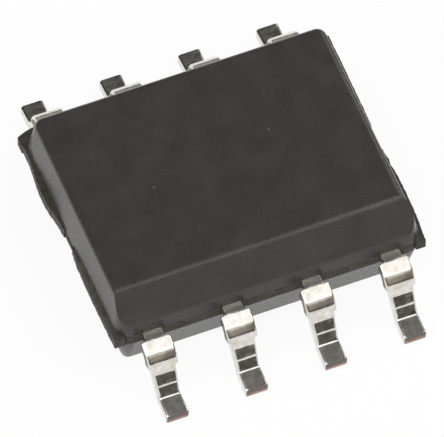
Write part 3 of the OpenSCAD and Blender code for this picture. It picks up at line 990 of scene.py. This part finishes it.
# %% Lay the floor
FLOOR_RADIUS, FLOOR_CORNERS = 600, 96
FLOOR_SEEN_WHITE, FLOOR_GREY = 0.92, 0.86
WHITE = (1, 1, 1, 1)
bm = bmesh.new()
bmesh.ops.create_circle(bm, cap_ends=True, segments=FLOOR_CORNERS, radius=FLOOR_RADIUS * MM)
mesh = bpy.data.meshes.new("floor")
bm.to_mesh(mesh)
bm.free()
floor = bpy.data.objects.new("floor", mesh)
bpy.context.scene.collection.objects.link(floor)
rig.stage(floor)
print("floor is", 2 * FLOOR_RADIUS, "mm across")


# %% Paint the floor
def mix_shaders(nodes, links, share, first, second):
    """Mixes two shaders: the share is how much of the second one shows."""
    node = nodes.new("ShaderNodeMixShader")
    links.new(share, node.inputs["Fac"])
    links.new(first, node.inputs[1])
    links.new(second, node.inputs[2])
    return node.outputs[0]


table, nodes, links = new_material("white table")
lit = nodes.new("ShaderNodeBsdfDiffuse")
lit.inputs["Color"].default_value = (FLOOR_GREY, FLOOR_GREY, FLOOR_GREY, 1)
white = nodes.new("ShaderNodeEmission")
white.inputs["Color"].default_value = WHITE
clear = nodes.new("ShaderNodeBsdfTransparent")
ray = nodes.new("ShaderNodeLightPath")
side_seen = nodes.new("ShaderNodeNewGeometry")
out = nodes.new("ShaderNodeOutputMaterial")
seen = maths(nodes, links, "MAXIMUM", ray.outputs["Is Camera Ray"], ray.outputs["Is Glossy Ray"])
share = maths(nodes, links, "MULTIPLY", seen, FLOOR_SEEN_WHITE)
above = mix_shaders(nodes, links, share, lit.outputs[0], white.outputs[0])
both = mix_shaders(nodes, links, side_seen.outputs["Backfacing"], above, clear.outputs[0])
links.new(both, out.inputs["Surface"])
floor.data.materials.append(table)
print("the floor is painted with", table.name)

# %% [markdown]
# ## The room
# Plated metal shows whatever stands round it, so a plain white room would turn the
# leads into flat white shapes. This room is dark, with one warm glow halfway up in
# front, which the bevel and the lower stubs see. The camera itself sees plain white.

# %% Set the room
GLOW_DIRECTION = (0.1, -0.75, 0.65)
DARK_AT, DIM_AT, GLOW_AT = 0.8, 0.94, 0.995
DARK, DIM, GLOW = (0.035, 0.032, 0.03, 1), (0.27, 0.25, 0.23, 1), (0.85, 0.8, 0.74, 1)
world = bpy.data.worlds.new("room")
bpy.context.scene.world = world
world.use_nodes = True
nodes, links = world.node_tree.nodes, world.node_tree.links
nodes.clear()
place = nodes.new("ShaderNodeTexCoord")
toward = nodes.new("ShaderNodeVectorMath")
toward.operation = "DOT_PRODUCT"
toward.inputs[1].default_value = Vector(GLOW_DIRECTION).normalized()
links.new(place.outputs["Generated"], toward.inputs[0])
glow = nodes.new("ShaderNodeValToRGB")
first, last = glow.color_ramp.elements
first.position, last.position = DARK_AT, GLOW_AT
first.color, last.color = DARK, GLOW
glow.color_ramp.elements.new(DIM_AT).color = DIM
links.new(toward.outputs["Value"], glow.inputs["Fac"])
room = nodes.new("ShaderNodeBackground")
links.new(glow.outputs["Color"], room.inputs["Color"])
behind = nodes.new("ShaderNodeBackground")
behind.inputs["Color"].default_value = WHITE
ray = nodes.new("ShaderNodeLightPath")
out = nodes.new("ShaderNodeOutputWorld")
links.new(mix_shaders(nodes, links, ray.outputs["Is Camera Ray"], room.outputs[0], behind.outputs[0]),
          out.inputs["Surface"])
print("room", world.name, "has", len(nodes), "nodes")

# %% [markdown]
# ## The lamps
# One wide soft lamp hangs over the front, and the stubs mirror it. Two smaller ones
# at the sides light the end walls. Two faint cards, over and behind the chip, are
# there for the top and the far leads to mirror. All five face the chip from the same
# distance, so each is given by its direction, its size and how bright it is all over.

# %% Hang the lamps
LAMP_DISTANCE = 90
LAMPS = {
    "soft lamp": ((0.15, -0.29, 0.95), 260, 92, 1.3),
    "left lamp": ((-0.85, -0.15, 0.5), 80, 100, 1.8),
    "right lamp": ((0.75, 0.1, 0.65), 50, 130, 1.8),
    "ceiling card": ((0, 0.47, 0.88), 150, 50, 0.14),
    "backdrop card": ((0, 0.95, 0.3), 150, 26, 0.35),
}


def softbox(name, direction, width, height, radiance):
    """An area lamp that faces the chip, as bright all over as radiance says."""
    lamp = bpy.data.lights.new(name, "AREA")
    lamp.shape = "RECTANGLE"
    lamp.size, lamp.size_y = width * MM, height * MM
    lamp.energy = radiance * math.pi * lamp.size * lamp.size_y
    away = Vector(direction).normalized()
    across = Vector((0, 1, 0)).cross(away).normalized()
    turned = Matrix((across, away.cross(across), away)).transposed().to_4x4()
    holder = bpy.data.objects.new(name, lamp)
    holder.matrix_world = Matrix.Translation(away * LAMP_DISTANCE * MM) @ turned
    bpy.context.scene.collection.objects.link(holder)
    print(name, "gives", round(lamp.energy * 1000, 2), "milliwatts")


for name, (direction, width, height, radiance) in LAMPS.items():
    softbox(name, direction, width, height, radiance)

# %% [markdown] ## The end The box of everything that shows is kept beside the
# solids' box, to compare their sizes.

# %% Keep the sizes and finish
with open("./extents.json", "w") as f:
    json.dump({"cad": [list(c) for c in cad_box], "visual": [list(c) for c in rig.bounds()]}, f)
print("sizes", json.load(open("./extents.json")))
